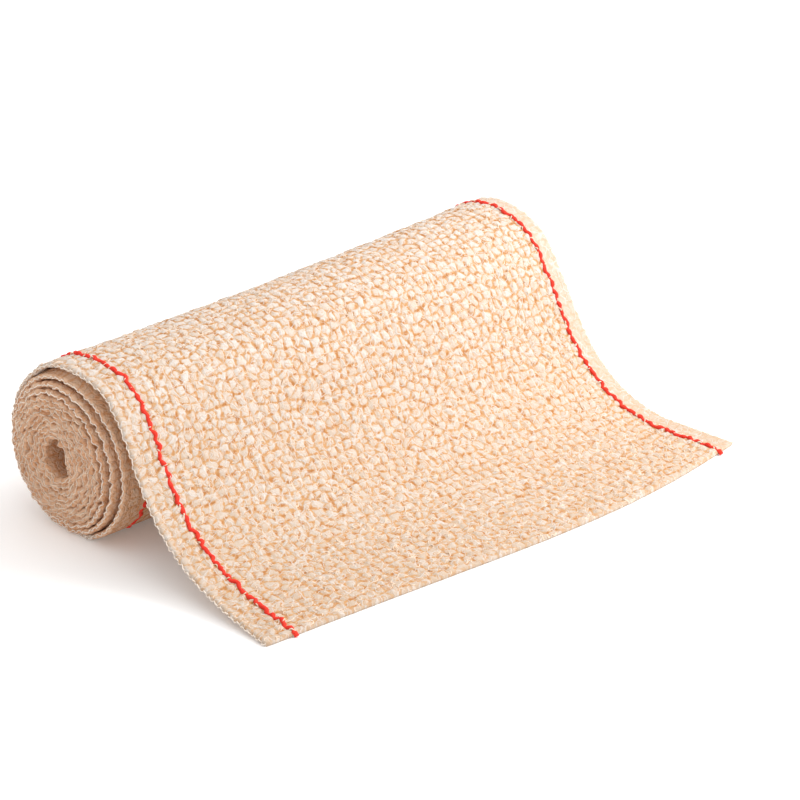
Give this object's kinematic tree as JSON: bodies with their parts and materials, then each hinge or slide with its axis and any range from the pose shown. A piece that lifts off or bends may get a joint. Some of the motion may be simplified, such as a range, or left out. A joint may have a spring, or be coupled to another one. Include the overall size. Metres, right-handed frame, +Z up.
{
  "type": "crepe bandage roll",
  "caption": "Wide crepe bandage wound into a soft oval roll, its loose end draped over the top in an S and lying flat on the surface.",
  "frame": {"origin": "middle of the base, on the surface that the roll and its loose end rest on", "axes": "+Y along the roll from the end that shows to the far end, +X the way the loose end lies, +Z up"},
  "size_m": [0.1092, 0.1566, 0.0482],
  "materials": {
    "crepe_cloth": "matte pebbled crepe, cream with tan gaps",
    "marker_yarn": "matte red yarn"
  },
  "bodies": {
    "root": {"bandage_roll": "crepe_cloth", "loose_end": "crepe_cloth"}
  },
  "joints": []
}
